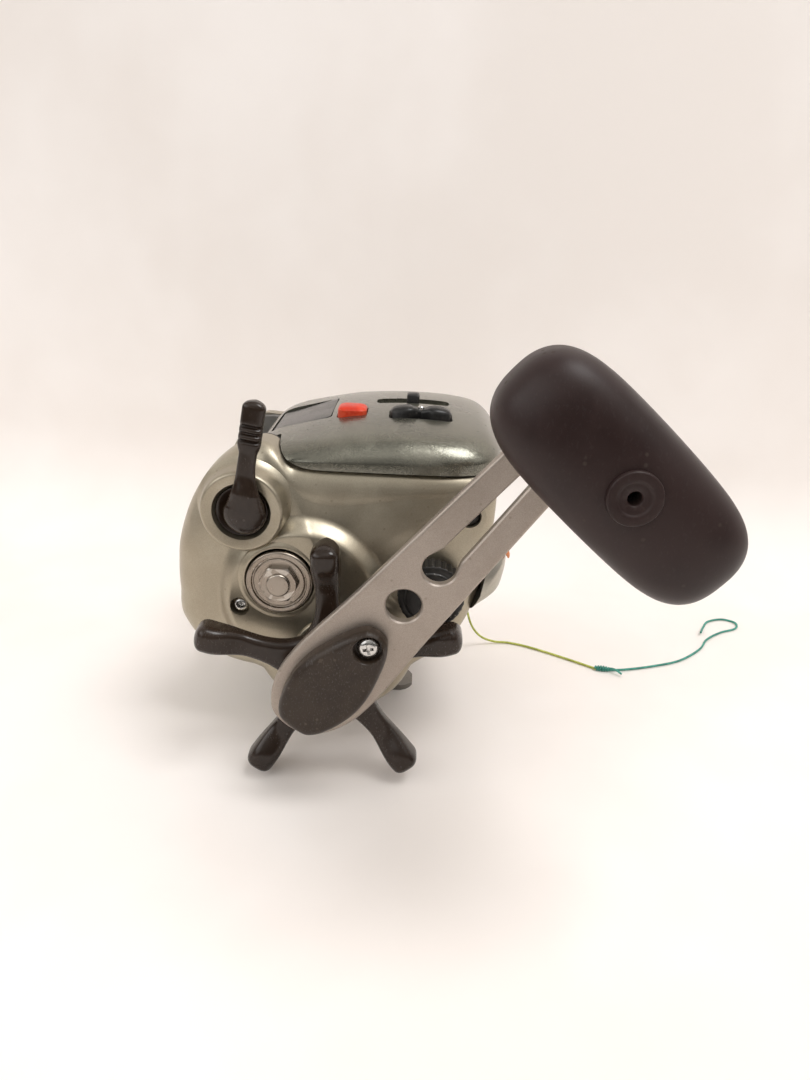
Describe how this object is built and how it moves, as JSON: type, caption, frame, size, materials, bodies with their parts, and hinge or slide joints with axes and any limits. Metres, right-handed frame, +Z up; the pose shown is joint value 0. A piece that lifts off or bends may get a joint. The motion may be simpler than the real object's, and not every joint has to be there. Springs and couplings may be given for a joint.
{
  "type": "electric fishing reel",
  "caption": "Motor-driven fishing reel with a star drag, crank handle with a bar knob, clutch lever and a counter housing with buttons on top.",
  "frame": {"origin": "middle of the flat underside of the reel foot", "axes": "+X out of the crank side, +Y forward along the rod, +Z up from the rod seat"},
  "size_m": [0.187, 0.2156, 0.1376],
  "materials": {
    "champagne_shell": "champagne silver paint, semi gloss",
    "light_silver": "light silver paint",
    "arm_silver": "satin anodised, pinkish grey",
    "pearl_grey": "dark grey pearl paint, glossy",
    "brown_plastic": "dark brown moulding, satin",
    "black_plastic": "black moulding",
    "red_button": "red moulding",
    "orange_trim": "orange moulding",
    "steel": "turned steel",
    "chrome": "bright plated",
    "dark_metal": "dark paint on cast metal",
    "spool_metal": "turned and anodised",
    "brass": "cut gear brass",
    "fibre": "grey fibre",
    "window": "dark glossy window",
    "panel": "grey green display panel",
    "board": "green circuit board",
    "line": "yellow green braid",
    "motor_paint": "dark motor can"
  },
  "bodies": {
    "body": {"bottom_bridge": "dark_metal", "reel_foot": "light_silver", "foot_screw_front": "steel", "foot_screw_rear": "steel", "right_side_plate": "dark_metal", "left_side_plate": "dark_metal", "rear_bar": "light_silver", "line_guard": "light_silver", "right_side_cover": "champagne_shell", "left_side_cover": "champagne_shell", "cover_screw_rear": "chrome", "cover_screw_front": "black_plastic", "counter_housing": "pearl_grey", "counter_base": "black_plastic", "circuit_board": "board", "display_window": "window", "display_panel": "panel", "front_cover": "light_silver", "nose_trim": "orange_trim", "motor_case": "motor_paint", "spool_end_cap": "steel", "end_cap_nut": "steel", "right_spool_bearing": "steel", "left_spool_bearing": "steel", "end_bearing": "steel", "shaft_bearing": "steel", "one_way_bearing": "steel", "power_inlet": "black_plastic"},
    "handle": {"drive_shaft": "steel", "drive_gear": "brass", "drag_washer": "fibre", "pressure_plate": "steel", "handle_arm": "arm_silver", "handle_nut": "steel", "handle_cap": "brown_plastic", "handle_cap_screw": "chrome", "knob_axle": "steel"},
    "star": {"star_drag": "brown_plastic"},
    "knob": {"handle_knob": "brown_plastic"},
    "spool": {"spool": "spool_metal", "line_core": "line", "wound_line": "line", "spool_shaft": "steel", "pinion_gear": "brass", "spool_motor_gear": "brass"},
    "worm": {"worm_shaft": "steel", "worm_gear": "fibre"},
    "guide": {"line_guide": "black_plastic", "fishing_line": "line", "line_knot": "line", "line_tail": "line"},
    "rotor": {"motor_shaft": "brass"},
    "idler": {"idler_gear": "brass"},
    "brake": {"brake_knob": "black_plastic"},
    "lever": {"clutch_lever": "brown_plastic"},
    "button": {"power_button": "red_button"},
    "rocker": {"speed_rocker": "black_plastic", "rocker_pin": "chrome"},
    "slider": {"speed_slider": "black_plastic"}
  },
  "joints": [
    {"name": "handle_turn", "type": "hinge", "parent": "body", "child": "handle", "pos_m": [0.05, 0.00001, 0.03553], "axis": [1, 0, 0], "continuous": true},
    {"name": "star_drag_turn", "type": "hinge", "parent": "handle", "child": "star", "pos_m": [0.0515, 0.00001, 0.03553], "axis": [1, 0, 0], "range_deg": [-180, 180]},
    {"name": "knob_spin", "type": "hinge", "parent": "handle", "child": "knob", "pos_m": [0.11, 0.06038, 0.11336], "axis": [1, 0, 0], "continuous": true},
    {"name": "spool_spin", "type": "hinge", "parent": "body", "child": "spool", "pos_m": [0, -0.0158, 0.0587], "axis": [1, 0, 0], "continuous": true},
    {"name": "worm_spin", "type": "hinge", "parent": "body", "child": "worm", "pos_m": [0, 0.02662, 0.04601], "axis": [1, 0, 0], "continuous": true},
    {"name": "idler_spin", "type": "hinge", "parent": "body", "child": "idler", "pos_m": [-0.03, 0.01263, 0.06295], "axis": [1, 0, 0], "continuous": true},
    {"name": "motor_spin", "type": "hinge", "parent": "body", "child": "rotor", "pos_m": [-0.03, 0.03241, 0.06591], "axis": [1, 0, 0], "continuous": true},
    {"name": "guide_slide", "type": "slide", "parent": "body", "child": "guide", "axis": [1, 0, 0], "range_m": [-0.0024, 0.032]},
    {"name": "brake_knob_turn", "type": "hinge", "parent": "body", "child": "brake", "pos_m": [0.045, 0.0283, 0.0573], "axis": [1, 0, 0], "range_deg": [-180, 180]},
    {"name": "clutch_lever_turn", "type": "hinge", "parent": "body", "child": "lever", "pos_m": [0.048, -0.0261, 0.0799], "axis": [1, 0, 0], "range_deg": [0, 55]},
    {"name": "power_button_press", "type": "slide", "parent": "body", "child": "button", "axis": [0, 0, -1], "range_m": [0, 0.001], "stiffness_N_per_m": 600},
    {"name": "speed_rocker_tilt", "type": "hinge", "parent": "body", "child": "rocker", "pos_m": [0.0165, 0.023, 0.1023], "axis": [1, 0, 0], "range_deg": [-4, 4], "stiffness_Nm_per_rad": 0.08},
    {"name": "speed_slider_slide", "type": "slide", "parent": "body", "child": "slider", "axis": [0, 1, 0], "range_m": [-0.0094, 0.0094]}
  ],
  "couplings": [
    {"joint": "spool_spin", "follows": "handle_turn", "ratio": -3.25},
    {"joint": "worm_spin", "follows": "handle_turn", "ratio": -3},
    {"joint": "idler_spin", "follows": "handle_turn", "ratio": 2.9792},
    {"joint": "motor_spin", "follows": "handle_turn", "ratio": -8.9375}
  ]
}
